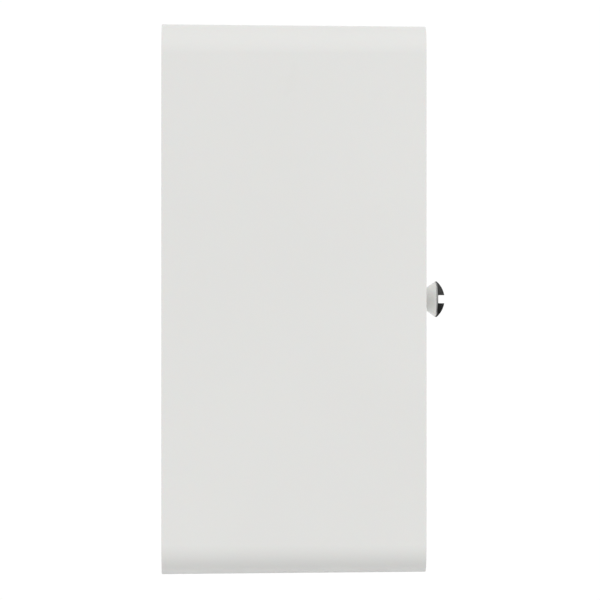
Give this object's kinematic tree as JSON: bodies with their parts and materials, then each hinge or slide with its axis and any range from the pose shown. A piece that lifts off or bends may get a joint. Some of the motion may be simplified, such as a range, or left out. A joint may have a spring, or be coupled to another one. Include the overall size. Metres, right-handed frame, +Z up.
{
  "type": "wall battery unit",
  "caption": "Wall battery unit: a drafted moulded hood over a steel pan, held by a slotted quarter-turn stud, with cells, a management board, fuse and breaker inside.",
  "frame": {"origin": "centre of the wall face, which is also the centre of the wall hole pattern", "axes": "+X to the right when facing the unit, +Y into the wall, +Z up; the front faces -Y"},
  "size_m": [0.26, 0.1585, 0.3],
  "materials": {
    "hood_plastic": "fine satin moulded finish",
    "bright_chrome": "polished",
    "zinc_steel": "zinc plated",
    "pan_paint": "light grey powder coat",
    "seal_rubber": "matt closed-cell foam",
    "cell_film": "blue insulating film over an aluminium can",
    "insulator": "milky sheet",
    "terminal_metal": "laser-cut bright",
    "copper": "bare copper, slightly oxidised",
    "brass_fitting": "machined",
    "board_green": "solder mask",
    "black_moulding": "moulded",
    "grey_moulding": "glass-filled, fine grain",
    "sink_aluminium": "extruded, clear anodised",
    "white_moulding": "moulded",
    "led_green": "tinted lens",
    "red_button": "moulded",
    "toggle_yellow": "moulded",
    "fuse_amber": "moulded, with plated blades",
    "clear_cover": "smoked clear moulding",
    "light_pipe": "frosted clear moulding",
    "cable_red": "flexible sheath",
    "cable_black": "flexible sheath",
    "wire_white": "thin sheath"
  },
  "bodies": {
    "chassis": {"back_plate": "pan_paint", "plate_seal": "seal_rubber", "cable_grommet": "seal_rubber", "battery_cradle": "zinc_steel", "cradle_rivets": "zinc_steel", "battery_cells": "cell_film", "cell_spacers": "insulator", "cell_terminals": "terminal_metal", "busbars": "copper", "terminal_nuts": "zinc_steel", "retaining_bar": "zinc_steel", "bar_pad": "seal_rubber", "bar_screws": "zinc_steel", "clinch_nuts": "zinc_steel", "lock_bracket": "zinc_steel", "bracket_screws": "zinc_steel", "lock_spring": "zinc_steel", "board_bracket": "zinc_steel", "bracket_feet_screws": "zinc_steel", "board_standoffs": "brass_fitting", "circuit_board": "board_green", "board_screws": "zinc_steel", "heat_sink": "sink_aluminium", "power_transistors": "black_moulding", "capacitors": "black_moulding", "board_sockets": "white_moulding", "status_leds": "led_green", "switch_base": "grey_moulding", "board_lugs_posts": "brass_fitting", "power_tray": "zinc_steel", "fuse_base": "grey_moulding", "fuse_studs": "zinc_steel", "fuse_link": "fuse_amber", "breaker_body": "grey_moulding", "breaker_studs": "zinc_steel", "post_base": "grey_moulding", "output_posts": "brass_fitting", "copper_links": "copper", "power_nuts": "zinc_steel", "positive_cable": "cable_red", "cell_negative_cable": "cable_black", "output_negative_cable": "cable_black", "sense_wires": "wire_white", "earth_stud": "brass_fitting", "earth_nuts": "zinc_steel"},
    "cover": {"hood": "hood_plastic", "light_guide": "light_pipe", "stud_bushing": "bright_chrome", "bushing_nut": "zinc_steel"},
    "quarter_turn": {"lock_stud": "bright_chrome", "stud_clip": "zinc_steel", "spring_washer": "zinc_steel"},
    "fuse_lid": {"fuse_cover": "clear_cover"},
    "toggle": {"breaker_toggle": "toggle_yellow"},
    "button": {"switch_button": "red_button"}
  },
  "joints": [
    {"name": "hood_slide", "type": "slide", "parent": "chassis", "child": "cover", "axis": [0, -1, 0], "range_m": [0, 0.17]},
    {"name": "stud_turn", "type": "hinge", "parent": "cover", "child": "quarter_turn", "pos_m": [0, -0.15, 0], "axis": [0, -1, 0], "range_deg": [0, 90], "deforming": ["lock_spring"]},
    {"name": "fuse_cover_swing", "type": "hinge", "parent": "chassis", "child": "fuse_lid", "pos_m": [0.064, -0.0685, -0.088], "axis": [-1, 0, 0], "range_deg": [0, 60]},
    {"name": "breaker_swing", "type": "hinge", "parent": "chassis", "child": "toggle", "pos_m": [0.004, -0.09, -0.107], "axis": [1, 0, 0], "range_deg": [0, 70]},
    {"name": "button_press", "type": "slide", "parent": "chassis", "child": "button", "axis": [0, 1, 0], "range_m": [0, 0.0007]}
  ]
}
